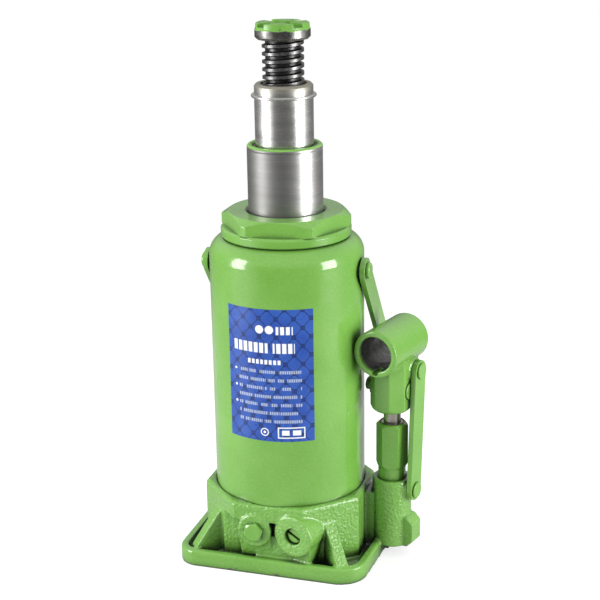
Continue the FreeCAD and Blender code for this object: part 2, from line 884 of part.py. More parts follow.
def plunger():
    shaft = turned(
        "shaft",
        [
            ("0", "plunger_foot"),
            ("plunger_r - 0.6", "plunger_foot"),
            ("plunger_r", "plunger_foot + 0.6"),
            ("plunger_r", "plunger_foot + 2"),
            ("plunger_r - 1.2", "plunger_foot + 2"),
            ("plunger_r - 1.2", "plunger_foot + 5"),
            ("plunger_r", "plunger_foot + 5"),
            ("plunger_r", "pin_high"),
            ("0", "pin_high"),
        ],
    )
    eye = side_rod("eye_r", "2 * eye_half", ("-eye_half", 0, "pin_high"), (1, 0, 0))
    cheeks = [box("eye_half", "eye_half + 3", "-10", "10", "pin_high - 13", "pin_high + 8")]
    cheeks.append(box("-eye_half - 3", "-eye_half", "-10", "10", "pin_high - 13", "pin_high + 8"))
    bore = side_rod("pin_r + 0.05", "30", (-15, 0, "pin_high"), (1, 0, 0))
    keep(at_pump(cut(fuse(shaft, eye), *cheeks, bore)), "plunger")
    seal = tube("cup", "plunger_r - 1.2", "plunger_r + 0.04", "plunger_foot + 2", "plunger_foot + 5")
    keep(at_pump(seal), "plunger_seal")


def socket_post():
    """Eight-sided post with its lower edge drawn in all round."""
    turn = FreeCAD.Rotation(Z_AXIS, 22.5)
    corner = "block_r / cos(22.5 deg)"
    sizes = {"Circumradius": corner, "Height": "tube_high - block_low"}
    prism = solid("Prism", sizes, (0, -1.5, "block_low"), turn)
    prism.Polygon = 8
    sizes = {"Radius1": "block_r - 1.4", "Radius2": "block_r + 39", "Height": "tube_high - block_low"}
    return common(prism, solid("Cone", sizes, (0, -1.5, "block_low")))


def handle_socket():
    """Handle tube on a forked block that straddles the plunger eye."""
    lying = FreeCAD.Rotation(V(1, 0, 0), -90)
    long = "tube_front + tube_rear"
    front = (0, "-tube_front", "tube_high")
    shell = solid("Cylinder", {"Radius": "tube_r", "Height": long}, front, lying)
    shell = rounded(shell, "1.0", lambda e: e.BoundBox.YLength < 1e-4)
    post = socket_post()
    back = box("-block_r + 1", "block_r - 1", "-1", "13.4", "block_low + 5", "tube_high")
    slope = FreeCAD.Rotation(V(1, 0, 0), 42)
    sizes = {"Length": "40", "Width": "30", "Height": "14"}
    ramp = solid("Box", sizes, (-20, 1.5, "block_low - 12"), slope)
    ear = side_rod("7.2", "21.6", (-9, "top_pin_back", "top_pin_high"), (1, 0, 0))
    stock = fuse(shell, post, cut(back, ramp), ear)
    sizes = {"Radius": "tube_bore_r", "Height": f"{long} + 2"}
    bore = solid("Cylinder", sizes, (0, "-tube_front - 1", "tube_high"), lying)
    left, right = "-eye_half - 0.5", "eye_half + 0.5"
    slot = box(left, right, "-7.7", "30", "block_low - 2", "pin_high + 0.5")
    crown = side_rod("eye_r + 1.2", "2 * eye_half + 1", (left, 0, "pin_high"), (1, 0, 0))
    swing = box(left, right, "0", "30", "pin_high - 1", "pin_high + eye_r + 0.2")
    hole = side_rod("pin_r", "40", (-20, 0, "pin_high"), (1, 0, 0))
    spot = side_rod("5.4", "10", ("block_r - 1", 0, "pin_high"), (1, 0, 0))
    pin = side_rod("link_pin_r", "30", (-8, "top_pin_back", "top_pin_high"), (1, 0, 0))
    keyway = "tube_high - tube_bore_r - 2.2"
    lip = box("-1.6", "1.6", "-tube_front - 1", "-tube_front + 9", keyway, "tube_high")
    keep(at_pump(cut(stock, bore, slot, crown, swing, hole, spot, pin, lip)), "handle_socket")


def pins():
    """Plunger pin with its washer and split pin, and the two link pins."""
    across = (1, 0, 0)
    outer = size("block_r")
    shank = side_rod("pin_r", "block_r + 15.3", ("-pin_tip", 0, "pin_high"), across)
    head = side_rod("5.1", "1.8", ("block_r - 1", 0, "pin_high"), across)
    head = rounded(head, "0.6", lambda e: e.BoundBox.XLength < 1e-4 and e.BoundBox.XMin > outer)
    hole = rod("1.0", "pin_high - 6", "pin_high + 6", "-split_out")
    keep(at_pump(cut(fuse(shank, head), hole)), "plunger_pin")
    washer = side_rod("5.4", "1.1", ("-block_r - 1.2", 0, "pin_high"), across)
    washer = cut(washer, side_rod("pin_r", "4", ("-block_r - 3", 0, "pin_high"), across))
    keep(at_pump(washer), "plunger_pin_washer")
    split_pin()
    link_pin("link_top_pin", "top_pin_back", "top_pin_high", "-8.0")
    link_pin("link_low_pin", "low_pin_back", "low_pin_high", "9.3")


def split_pin():
    """Straight legs with the curled eye above them."""
    legs = rod("1.0", "pin_high - 5.6", "pin_high + 5.0", "-split_out")
    upright_ring = FreeCAD.Rotation(V(0, 1, 0), 90)
    sizes = {"Radius1": "1.3", "Radius2": "0.7"}
    curl = solid("Torus", sizes, ("-split_out", 0, "pin_high + 5.9"), upright_ring)
    keep(at_pump(fuse(legs, curl)), "split_pin")


def link_pin(label, back, high, tip):
    """Rivet pin of the link with its rounded head outside the strap."""
    across = (1, 0, 0)
    outside = "link_in + link_thick + 0.3"
    edge = size(outside)
    shank = side_rod("link_pin_r", f"{outside} - ({tip})", (tip, back, high), across)
    head = side_rod("4.9", "1.1", (outside, back, high), across)
    head = rounded(head, "0.5", lambda e: e.BoundBox.XLength < 1e-4 and e.BoundBox.XMin > edge + 1)
    keep(at_pump(fuse(shank, head)), label)


def link_strap():
    """Flat link from the base to the back of the socket."""
    rise = size("top_pin_high - low_pin_high")
    back = size("top_pin_back - low_pin_back")
    long = "sqrt((top_pin_back - low_pin_back)^2 + (top_pin_high - low_pin_high)^2)"
    across = (1, 0, 0)
    bar = box("link_in", "link_in + link_thick", "-link_half", "link_half", 0, long)
    ends = [side_rod("link_half", "link_thick", ("link_in", 0, z), across) for z in (0, long)]
    low_hole = side_rod("link_pin_r + 0.05", "20", (5, 0, 0), across)
    top_hole = side_rod("link_free_r", "20", (5, 0, long), across)
    strap = cut(fuse(bar, *ends), low_hole, top_hole)
    lean = FreeCAD.Rotation(V(1, 0, 0), -math.degrees(math.atan2(back, rise)))
    strap.Placement = FreeCAD.Placement(V(0, size("low_pin_back"), size("low_pin_high")), lean)
    keep(pump_tool(strap), "link_strap")


# ---------------------------------------------------------------- valves


def valve_frame(deep=0):
    """Place in the release valve's bore, +Z outwards, at a depth."""
    out = heading()
    mouth = V(size("valve_x"), size("valve_y"), size("valve_high"))
    return FreeCAD.Placement(mouth - out * size(deep), FreeCAD.Rotation(Z_AXIS, out))


def release_valve():
    """Slotted stem that presses a ball on its seat, with its ring seal."""
    far = "-valve_deep + 5.75"
    stem = turned(
        "stem",
        [
            ("0", far),
            ("2.4", far),
            ("4.6", f"{far} + 2"),
            ("4.6", "-9"),
            ("4.2", "-9"),
            ("4.2", "-7"),
            ("valve_bore_r - 0.08", "-7"),
            ("valve_bore_r - 0.08", "-3.2"),
            ("valve_bore_r - 0.9", "-2.4"),
            ("0", "-2.4"),
        ],
    )
    slot = box("-0.9", "0.9", "-7", "7", "-4.2", "-1")
    spin = FreeCAD.Placement(V(0, 0, 0), FreeCAD.Rotation(Z_AXIS, 50))
    slot.Placement = spin.multiply(slot.Placement)
    stem = cut(stem, slot)
    stem.Placement = valve_frame()
    keep(stem, "release_stem")
    seal = tube("ring_seal", "4.2", "valve_bore_r - 0.05", "-9", "-7")
    seal.Placement = valve_frame()
    keep(seal, "release_seal")
    ball = solid("Sphere", {"Radius": "valve_ball_r"})
    ball.Placement = valve_frame("valve_deep - 2.5")
    keep(ball, "release_ball")


def relief_frame(deep=0):
    """Place in the relief valve's bore, +Z outwards, at a depth."""
    lying = FreeCAD.Rotation(V(1, 0, 0), 90)
    where = V(size("relief_x"), size("relief_y") + size(deep), size("relief_high"))
    return FreeCAD.Placement(where, lying)


def relief_valve():
    """Hex plug that loads a small ball through a coil spring."""
    plug = turned(
        "plug",
        [
            ("0", "-4"),
            ("relief_thread_r", "-4"),
            ("relief_thread_r", "0"),
            ("relief_flats / 2 + 0.8", "0"),
            ("relief_flats / 2 + 0.8", "2"),
            ("relief_flats / 2 - 0.5", "2.9"),
            ("0", "2.9"),
        ],
    )
    cut_flats(plug, "relief_flats", 12, "0", "5")
    plug.Placement = relief_frame()
    keep(plug, "relief_plug")
    wire = solid("Helix", {"Pitch": "coil_pitch", "Height": "coil_long", "Radius": "coil_r"})
    across = FreeCAD.Rotation(V(1, 0, 0), 90)
    section = solid("Circle", {"Radius": "coil_wire_r"}, ("coil_r", 0, 0), across)
    spring = doc.addObject("Part::Sweep", "spring")
    spring.Sections = [section]
    spring.Spine = (wire, [])
    spring.Solid = True
    spring.Frenet = True
    spring.Placement = relief_frame("4 + coil_long + coil_wire_r + 0.1")
    keep(spring, "relief_spring")
    ball = solid("Sphere", {"Radius": "ball_r"})
    ball.Placement = relief_frame("relief_deep - 2")
    keep(ball, "relief_ball")


def check_balls():
    """Loose balls of the suction and delivery valves, each on its seat."""
    rise = "sqrt(ball_r^2 - ball_seat_r^2) + 0.02"
    low = solid("Sphere", {"Radius": "ball_r"}, ("pump_x", "pump_y", f"suction_seat + {rise}"))
    keep(low, "suction_ball")
    high = solid("Sphere", {"Radius": "ball_r"}, (0, 0, f"delivery_seat + {rise}"))
    keep(high, "delivery_ball")


# ---------------------------------------------------------------- fittings


def carry_handle():
    """Flat strap bent into a bail, hung on two rivets."""
    out = "bail_in + bail_thick"
    half = "bail_half"
    tip = "-bail_arm"
    arms = []
    for x0, x1 in (("bail_in", out), (f"-({out})", "-bail_in")):
        arms.append(box(x0, x1, f"-{half}", half, tip, 0))
        arms.append(side_rod(half, "bail_thick", (x0, 0, 0), (1, 0, 0)))
    arms.append(box(f"-({out})", out, f"-{half}", half, tip, f"{tip} + bail_thick"))
    strap = rounded(fuse(*arms), "2.4", is_bend)
    holes = side_rod("pin_r + 0.08", "4 * tank_r", ("-2 * tank_r", 0, 0), (1, 0, 0))
    strap = cut(strap, holes)
    where = V(0, size("bail_y"), size("bail_high"))
    strap.Placement = FreeCAD.Placement(where, FreeCAD.Rotation(V(1, 0, 0), size("bail_lean")))
    keep(strap, "carry_handle")
    studs = []
    for side in (1, -1):
        out = (side, 0, 0)
        root = (side * size("tank_r - 3"), "bail_y", "bail_high")
        shank = side_rod("pin_r", "8.1", root, out)
        under_head = (side * size("tank_r + 4.1"), "bail_y", "bail_high")
        face = side * size("tank_r + 6.2")
        head = rounded(side_rod("4.8", "2.1", under_head, out), "1.2", flat_at(face))
        studs.append(fuse(shank, head))
    pair = doc.addObject("Part::Compound", "studs")
    pair.Links = studs
    keep(pair, "carry_handle_rivets")


def is_bend(edge):
    """Outer corner edges where the strap turns from arm to cross bar."""
    b = edge.BoundBox
    across = b.XLength < 1e-4 and b.ZLength < 1e-4 and b.YLength > 1
    corner = abs(b.ZMin + size("bail_arm")) < 1e-4
    return across and corner and abs(abs(b.XMin) - size("bail_in + bail_thick")) < 1e-4


def filler_plug():
    body = turned(
        "bung",
        [
            ("0", "-5"),
            ("filler_hole_r - 0.6", "-5"),
            ("filler_hole_r", "-4"),
            ("filler_hole_r", "0.2"),
            ("filler_hole_r + 2.4", "0.2"),
            ("filler_hole_r + 2.4", "1.6"),
            ("filler_hole_r + 1", "2.8"),
            ("0", "2.8"),
        ],
    )
    where = V(0, size("tank_r"), size("filler_high"))
    body.Placement = FreeCAD.Placement(where, FreeCAD.Rotation(V(1, 0, 0), -90))
    keep(body, "filler_plug")


def label():
    """Thin sticker bent round the front of the reservoir."""
    span = size("label_span")
    turn = FreeCAD.Rotation(Z_AXIS, size("label_mid") - span / 2)
    sizes = {"Radius": "tank_r + label_thick", "Height": "label_high"}
    skin = solid("Cylinder", sizes, (0, 0, "label_low"), turn)
    core = rod("tank_r", "label_low - 1", "label_low + label_high + 1")
    skin.setExpression("Angle", bound("label_span"))
    keep(cut(skin, core), "label")


# ---------------------------------------------------------------- build and write


def check():
    """Stop if any object failed or any sub-part has no sound shape."""
    for thing in doc.Objects:
        if {"Invalid", "Error"} & set(thing.State):
            raise RuntimeError(f"{thing.Name} ({thing.Label}) failed: {thing.State}")
    for part in parts:
        if part.Shape.isNull() or not part.Shape.isValid():
            raise RuntimeError(f"{part.Label} has no valid shape")


base_casting()
reservoir()
pressure_cylinder()
top_nut()
outer_ram()
inner_ram()
extension_screw()
saddle()
pump()
plunger()
handle_socket()
pins()
link_strap()
release_valve()
relief_valve()
check_balls()
carry_handle()
filler_plug()
label()
doc.recompute()
check()

os.makedirs("parts", exist_ok=True)
for part in parts:
    part.Shape.exportStep(f"parts/{part.Label}.step")
    print(f"{part.Label}: {part.Shape.Volume / 1000:.2f} cm3, {len(part.Shape.Solids)} solid(s)")
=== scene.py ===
import math

import bpy
from mathutils import Matrix, Vector


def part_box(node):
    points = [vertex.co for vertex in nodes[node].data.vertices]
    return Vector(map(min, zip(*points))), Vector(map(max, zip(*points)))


# Two-stage bottle jack: materials, soft cast edges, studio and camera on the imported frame.
# Lengths are metres and angles degrees; only the sticker's print is laid out in millimetres.

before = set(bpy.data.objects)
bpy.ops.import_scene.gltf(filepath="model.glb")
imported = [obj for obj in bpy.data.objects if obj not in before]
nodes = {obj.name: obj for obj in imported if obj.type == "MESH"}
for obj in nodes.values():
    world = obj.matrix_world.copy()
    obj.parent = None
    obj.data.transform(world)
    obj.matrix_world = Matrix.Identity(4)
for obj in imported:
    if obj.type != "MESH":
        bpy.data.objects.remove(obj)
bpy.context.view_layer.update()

# The paint's own greens and its light specks, then painted shade: darker green for its crevices, partly
# dirt, and near black for deep recesses.
GREEN = (0.148, 0.370, 0.050)
GREEN_LIGHT = (0.188, 0.428, 0.074)
GREEN_SPECK = (0.42, 0.66, 0.26)
CREVICE_DIRT_AND_SHADE = (0.020, 0.050, 0.010)
PAINTED_CAVE_SHADE = (0.006, 0.012, 0.005)

# Bare materials. A pair holds the darker and the lighter tone that the surface wanders between.
CHIPPED_IRON = (0.060, 0.050, 0.040)
RUST = (0.20, 0.085, 0.035)
RUSTED_RIM = ((0.050, 0.042, 0.036), (0.16, 0.085, 0.045))
BORE_STEEL = ((0.085, 0.085, 0.082), (0.18, 0.175, 0.165))
OUTER_RAM_STEEL = ((0.50, 0.495, 0.485), (0.62, 0.61, 0.60))
INNER_RAM_STEEL = ((0.60, 0.595, 0.58), (0.70, 0.69, 0.67))
BALL_STEEL = ((0.60, 0.60, 0.59), (0.72, 0.72, 0.71))
SCRATCH = (0.88, 0.88, 0.87)
DARK_LINE = (0.20, 0.195, 0.185)
# Painted shade: darker steel for the shaded side of the outer ram.
SHADED_SIDE_STEEL = (0.13, 0.128, 0.122)
OIL_STAIN = (0.27, 0.26, 0.19)
BLACKENED = ((0.026, 0.026, 0.027), (0.062, 0.060, 0.060))
# Lighter crest steel: partly rubbed wear, partly a painted highlight.
CREST_WEAR_AND_HIGHLIGHT = (0.26, 0.255, 0.25)
SADDLE_STEEL = ((0.10, 0.098, 0.092), (0.24, 0.235, 0.225))
MACHINED_STEEL = (0.52, 0.50, 0.47)
PLUNGER_STEEL = (0.50, 0.47, 0.43)
RUBBER = ((0.012, 0.012, 0.012), (0.040, 0.039, 0.038))
FIBRE = ((0.42, 0.36, 0.26), (0.66, 0.60, 0.48))
COPPER = ((0.62, 0.26, 0.13), (0.78, 0.42, 0.26))

# The sticker's inks.
PRINT_BLUE = ((0.018, 0.072, 0.370), (0.032, 0.104, 0.440))
PRINT_MESH = (0.006, 0.009, 0.040)
PRINT_FAINT = (0.62, 0.68, 0.74)
PRINT_WHITE = (0.86, 0.88, 0.88)

MILLIMETRES = 1000.0

# The handle tube opens towards this azimuth, and its axis lies one outer radius below its top.
TUBE_AZIMUTH = -15
TUBE_RADIUS = 0.0142
BORE_RADIUS = 0.0110

# Where the extension screw's thread crests begin.
CREST_RADIUS = 0.0120

# The print is spread over this arc of the tank, counted from +X, so -90 is the jack's front.
# The mesh behind it runs on to the sticker's edges.
PRINT_RADIUS = 46.15
PRINT_MIDDLE = -88.5
PRINT_SPAN = 61.0

# Camera: its place round the jack, then the way it is turned.
CAMERA_AZIMUTH = 17.8
CAMERA_AWAY = 0.801
CAMERA_HIGH = 0.413
CAMERA_YAW = 17.27
CAMERA_DOWN = 17.64
CAMERA_ROLL = -0.93
LENS_MM = 84.0
SENSOR_MM = 36.0


def heading(azimuth):
    """Level direction at an azimuth, 0 towards the jack's front and 90 to its right."""
    a = math.radians(azimuth)
    return Vector((math.sin(a), -math.cos(a), 0))


def pump_axis():
    """Middle of the pump's round collar, which is the plunger's axis."""
    low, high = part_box("pump_gasket")
    return (low + high) / 2


def top_of(name):
    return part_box(name)[1].z


def grey(level):
    return (level, level, level)


# ---------------------------------------------------------------- node helpers


class Tree:
    """Short calls that add and link the nodes of one shader tree."""

    def __init__(self, tree):
        self.tree = tree

    def add(self, kind, inputs=None, **props):
        node = self.tree.nodes.new(kind)
        for key, value in props.items():
            setattr(node, key, value)
        for key, value in (inputs or {}).items():
            self.put(node.inputs[key], value)
        return node

    def put(self, socket, value):
        """Link a socket's value or set a plain one; a colour may leave out its alpha."""
        if isinstance(value, bpy.types.NodeSocket):
            self.tree.links.new(value, socket)
        elif socket.type == "RGBA" and len(value) == 3:
            socket.default_value = (*value, 1.0)
        else:
            socket.default_value = value

    def math(self, kind, a, b=0.0, c=0.0, clamp=False):
        node = self.add("ShaderNodeMath", {0: a, 1: b, 2: c}, operation=kind, use_clamp=clamp)
        return node.outputs[0]

    def plus(self, a, b):
        return self.math("ADD", a, b)

    def minus(self, a, b):
        return self.math("SUBTRACT", a, b)

    def times(self, a, b):
        return self.math("MULTIPLY", a, b)

    def vector(self, kind, a, b=(0, 0, 0)):
        node = self.add("ShaderNodeVectorMath", {0: a, 1: b}, operation=kind)
        single = kind in ("LENGTH", "DOT_PRODUCT", "DISTANCE")
        return node.outputs["Value" if single else "Vector"]

    def mix(self, fac, a, b):
        """Colour that goes from a to b; sockets 6 and 7 are the node's two colours."""
        return self.add("ShaderNodeMix", {"Factor": fac, 6: a, 7: b}, data_type="RGBA").outputs[2]

    def camera_ray(self):
        return self.add("ShaderNodeLightPath").outputs["Is Camera Ray"]


class Paint(Tree):
    """One material with a single Principled shader."""

    def __init__(self, name):
        self.mat = bpy.data.materials.new(name)
        self.mat.use_nodes = True
        super().__init__(self.mat.node_tree)
        self.shader = self.tree.nodes["Principled BSDF"]
        self.at = self.add("ShaderNodeTexCoord").outputs["Object"]

    def stretched(self, x, y, z):
        return self.vector("MULTIPLY", self.at, (x, y, z))

    def height(self):
        return self.add("ShaderNodeSeparateXYZ", {0: self.at}).outputs["Z"]

    def radius(self):
        return self.vector("LENGTH", self.stretched(1, 1, 0))

    def noise(self, scale, detail=3.0, where=None, rough=0.5):
        inputs = {"Vector": where or self.at, "Scale": scale, "Detail": detail, "Roughness": rough}
        return self.add("ShaderNodeTexNoise", inputs).outputs["Fac"]

    def lines(self, around, along, detail=3.0):
        """Noise drawn out round the axis, as a lathe tool leaves it; the two are its scales."""
        return self.noise(1.0, detail, self.stretched(around, around, along))

    def cells(self, scale):
        inputs = {"Vector": self.at, "Scale": scale, "Smoothness": 0.6}
        return self.add("ShaderNodeTexVoronoi", inputs, feature="SMOOTH_F1").outputs["Distance"]

    def ramp(self, value, low, high, to_low=0.0, to_high=1.0):
        inputs = {"Value": value, "From Min": low, "From Max": high, "To Min": to_low, "To Max": to_high}
        node = self.add("ShaderNodeMapRange", inputs, interpolation_type="SMOOTHSTEP")
        return node.outputs["Result"]

    def fade(self, value, low, high):
        """1 below low and 0 above high."""
        return self.ramp(value, low, high, 1.0, 0.0)

    def patchy(self, low, high, scale, detail=3.0, band=(0.3, 0.7), rough=0.5):
        """Value that wanders between two levels; band is the noise's own range that is used."""
        return self.ramp(self.noise(scale, detail, rough=rough), *band, low, high)

    def mottle(self, tones, scale, detail=3.0, band=(0.3, 0.7)):
        """Colour that wanders between two tones."""
        return self.mix(self.patchy(0.0, 1.0, scale, detail, band), *tones)

    def ragged(self, value, scale, reach):
        """The value pushed up by noise, so that a border drawn on it isn't straight."""
        return self.plus(value, self.times(self.noise(scale), reach))

    def bump(self, height, distance, strength=1.0, under=None):
        inputs = {"Height": height, "Distance": distance, "Strength": strength}
        if under is not None:
            inputs["Normal"] = under
        return self.add("ShaderNodeBump", inputs).outputs["Normal"]

    def edges(self, radius):
        return self.add("ShaderNodeBevel", {"Radius": radius}, samples=6).outputs["Normal"]

    def crevice(self, distance):
        """1 in the open and towards 0 where walls stand within the distance."""
        return self.add("ShaderNodeAmbientOcclusion", {"Distance": distance}, samples=8).outputs["AO"]

    def show(self, **inputs):
        """Fill the shader's sockets, whose names have _ for a space, and give the material."""
        for key, value in inputs.items():
            self.put(self.shader.inputs[key.replace("_", " ")], value)
        return self.mat


# ---------------------------------------------------------------- paints


def green_tone(m, reach=0.006):
    """Green that drifts a little in tone and is darkened in crevices, as dirt and painted shade."""
    tone = m.mottle((GREEN, GREEN_LIGHT), 22.0, 4.0, (0.30, 0.72))
    tone = m.mix(m.patchy(0.0, 0.10, 900.0, 2.0, (0.35, 0.75)), tone, GREEN_SPECK)
    # Painted shade, partly standing for dirt: occlusion darkens the green in crevices within reach.
    return m.mix(m.ramp(m.crevice(reach), 0.25, 0.95, 0.80, 0.0), tone, CREVICE_DIRT_AND_SHADE)


def cast_paint():
    """Thick glossy paint over a pebbled sand casting, chipped along the foot."""
    m = Paint("cast_paint")
    # Painted shade: deep recesses of the casting are darkened to near black by occlusion.
    painted_cave_shade = m.ramp(m.crevice(0.026), 0.22, 0.52, 0.96, 0.0)
    tone = m.mix(painted_cave_shade, green_tone(m, 0.007), PAINTED_CAVE_SHADE)
    swell = m.bump(m.noise(120.0), 0.0011, 0.6, m.edges(0.0006))
    pebble = m.ragged(m.cells(560.0), 1000.0, 0.7)
    above_plate = m.ramp(m.height(), 0.008, 0.016, 0.30, 0.85)
    grain = m.bump(pebble, 0.00062, above_plate, swell)
    foot = m.fade(m.height(), 0.0006, 0.0030)
    chip = m.times(foot, m.patchy(0.0, 1.0, 150.0, 2.0, (0.60, 0.64)))
    return m.show(
        Base_Color=m.mix(chip, tone, CHIPPED_IRON),
        Roughness=m.plus(m.patchy(0.12, 0.24, 240.0), m.times(chip, 0.4)),
        Normal=grain,
        Coat_Weight=0.60,
        Coat_Roughness=0.08,
    )


def smooth_paint(name="smooth_paint", edge=0.0004, bare_part=None):
    """Even gloss paint with a faint orange peel.

    bare_part(m) gives where metal shows through, its tone and how much rougher it is.
    """
    m = Paint(name)
    tone = green_tone(m)
    gloss = m.patchy(0.10, 0.20, 60.0, 4.0, (0.3, 0.75))
    metal = 0.0
    normal = m.bump(m.noise(46.0, 2.0), 0.0005, 0.30, m.edges(edge))
    normal = m.bump(m.noise(330.0, 2.0), 0.00006, 0.55, normal)
    if bare_part:
        bare, shade, dulling = bare_part(m)
        tone = m.mix(bare, tone, shade)
        metal = m.times(bare, 0.9)
        gloss = m.plus(gloss, m.times(bare, dulling))
    return m.show(
        Base_Color=tone,
        Roughness=gloss,
        Metallic=metal,
        Normal=normal,
        Coat_Weight=0.45,
        Coat_Roughness=0.04,
    )


def bare_hex_rim(m):
    """Unpainted, darkly rusted land round the plunger on the pump's top."""
    axis, top = pump_axis(), top_of("pump_cylinder")
    out = m.vector("DISTANCE", m.stretched(1, 1, 0), (axis.x, axis.y, 0))
    land = m.times(
        m.ramp(m.height(), top - 0.0024, top - 0.0018),
        m.fade(m.ragged(out, 500.0, 0.0012), 0.0078, 0.0086),
    )
    return land, m.mottle(RUSTED_RIM, 380.0, 3.0, (0.35, 0.7)), 0.35


def bare_bore(m):
    """Bare dark steel inside the handle tube, away from its painted lip."""
    axis, along = pump_axis(), heading(TUBE_AZIMUTH)
    middle = (axis.x, axis.y, top_of("handle_socket") - TUBE_RADIUS)
    away = m.vector("SUBTRACT", m.at, middle)
    deep = m.vector("DOT_PRODUCT", away, along)
    run = m.add("ShaderNodeVectorMath", {0: along, "Scale": deep}, operation="SCALE")
    out = m.vector("LENGTH", m.vector("SUBTRACT", away, run.outputs[0]))
    inside = m.fade(out, BORE_RADIUS - 0.00015, BORE_RADIUS + 0.00005)
    behind_lip = m.fade(m.ragged(deep, 240.0, 0.003), 0.0195, 0.0215)
    return m.times(inside, behind_lip), m.mottle(BORE_STEEL, 300.0), 0.30


# ---------------------------------------------------------------- steels


def turned_steel(name, tones, rough, lines, painted_from=None, stained_from=None, dull_shaded_side=None):
    """Ground steel with fine lines round it, light scratches and uneven polish.

    Green paint or an old oil stain sets in between the two heights of painted_from or stained_from.
    The last argument is the azimuth of a side that gets a rougher polish and, as painted shade, darker
    steel.
    """
    m = Paint(name)
    rings = m.lines(0.4, lines)
    scratch = m.ramp(m.lines(110, 1700, 1.0), 0.66, 0.71)
    smear = m.patchy(0.0, 1.0, 60.0, 5.0, (0.50, 0.72), 0.65)
    tone = m.mix(m.ramp(m.lines(24, 260), 0.35, 0.68), *tones)
    tone = m.mix(m.times(scratch, 0.55), tone, SCRATCH)
    tone = m.mix(m.times(m.ramp(m.lines(1.5, 1300, 2.0), 0.60, 0.68), 0.45), tone, DARK_LINE)
    gloss = m.plus(m.ramp(rings, 0.25, 0.8, rough * 0.9, rough * 1.2), m.times(smear, 0.07))
    metal = 1.0
    # Painted shade: the steel is darkened towards this side to stand for its shade; its polish is also made
    # rougher there.
    if dull_shaded_side is not None:
        side = m.vector("DOT_PRODUCT", m.at, heading(dull_shaded_side))
        dull_and_shaded = m.ramp(m.plus(side, m.times(smear, 0.003)), 0.004, 0.017)
        tone = m.mix(m.times(dull_and_shaded, 0.78), tone, SHADED_SIDE_STEEL)
        gloss = m.plus(gloss, m.times(dull_and_shaded, 0.16))
    if painted_from:
        painted = m.ramp(m.ragged(m.height(), 300.0, 0.0006), *painted_from)
        tone = m.mix(painted, tone, GREEN_LIGHT)
        metal = m.minus(1.0, painted)
    if stained_from:
        stained = m.ramp(m.ragged(m.height(), 260.0, 0.0010), *stained_from)
        tone = m.mix(m.times(stained, 0.8), tone, OIL_STAIN)
        gloss = m.plus(gloss, m.times(stained, 0.22))
    normal = m.bump(rings, 0.00002, 0.16, m.edges(0.00025))
    normal = m.bump(scratch, 0.00001, 0.3, normal)
    return m.show(Base_Color=tone, Roughness=gloss, Metallic=metal, Normal=normal)


def black_oxide():
    """Oiled black oxide; the thread crests are lighter, partly rubbed bare and partly as a painted
    highlight.
    """
    m = Paint("black_oxide")
    # Crests made lighter: partly wear, partly a painted highlight along them.
    crest_wear_and_highlight = m.ramp(m.ragged(m.radius(), 700.0, 0.0005), CREST_RADIUS, CREST_RADIUS + 0.00032)
    tone = m.mix(m.times(crest_wear_and_highlight, 0.5), m.mottle(BLACKENED, 160.0, 4.0), CREST_WEAR_AND_HIGHLIGHT)
    gloss = m.patchy(0.24, 0.42, 420.0)
    normal = m.bump(m.noise(900.0, 2.0), 0.00006, 0.5, m.edges(0.0002))
    return m.show(Base_Color=tone, Roughness=gloss, Metallic=0.92, Normal=normal)


def saddle_finish():
    """Machined side below, brushed-on green with rubbed patches above."""
    m = Paint("saddle_finish")
    top = top_of("saddle")
    brushed = m.ramp(m.ragged(m.height(), 240.0, 0.0022), top - 0.00310, top - 0.00265)
    rubbed = m.patchy(0.0, 1.0, 210.0, 5.0, (0.60, 0.66), 0.62)
    painted = m.times(brushed, m.minus(1.0, rubbed))
    green = m.mottle((GREEN, GREEN_LIGHT), 90.0)
    return m.show(
        Base_Color=m.mix(painted, m.mottle(SADDLE_STEEL, 120.0), green),
        Roughness=m.patchy(0.26, 0.40, 300.0),
        Metallic=m.minus(1.0, painted),
        Normal=m.bump(m.lines(26, 3400), 0.00005, 0.6, m.edges(0.0004)),
    )


def raw_steel(name="raw_steel", rust=0.25, shade=MACHINED_STEEL):
    """Bare machined steel, dulled and spotted with light rust."""
    m = Paint(name)
    darker = tuple(0.62 * part for part in shade)
    spots = m.patchy(0.0, rust, 260.0, 5.0, (0.56, 0.70), 0.65)
    return m.show(
        Base_Color=m.mix(spots, m.mottle((darker, shade), 90.0), RUST),
        Roughness=m.patchy(0.24, 0.44, 300.0),
        Metallic=m.minus(1.0, m.times(spots, 0.8)),
        Normal=m.bump(m.lines(40, 2600, 2.0), 0.00004, 0.5, m.edges(0.0002)),
    )


# ---------------------------------------------------------------- seals and gaskets


def rubber():
    """Black rubber with a dull, finely grained skin."""
    m = Paint("rubber")
    return m.show(
        Base_Color=m.mottle(RUBBER, 300.0, 3.0, (0.35, 0.7)),
        Roughness=m.patchy(0.50, 0.72, 500.0),
        Normal=m.bump(m.noise(1400.0), 0.00005, 0.5),
    )


def fibre():
    """Pressed fibre sheet with short flat strands."""
    m = Paint("fibre")
    strands = m.lines(900, 300, 4.0)
    return m.show(
        Base_Color=m.mix(m.ramp(strands, 0.3, 0.7), *FIBRE),
        Roughness=m.ramp(strands, 0.3, 0.7, 0.7, 0.9),
        Normal=m.bump(strands, 0.00008, 0.6),
    )


def copper():
    """Soft copper, brighter where it was squeezed."""
    m = Paint("copper")
    return m.show(
        Base_Color=m.mottle(COPPER, 240.0, 4.0, (0.35, 0.7)),
        Roughness=m.patchy(0.22, 0.42, 500.0),
        Metallic=1.0,
        Normal=m.bump(m.noise(900.0), 0.00004, 0.4),
    )


# ---------------------------------------------------------------- sticker


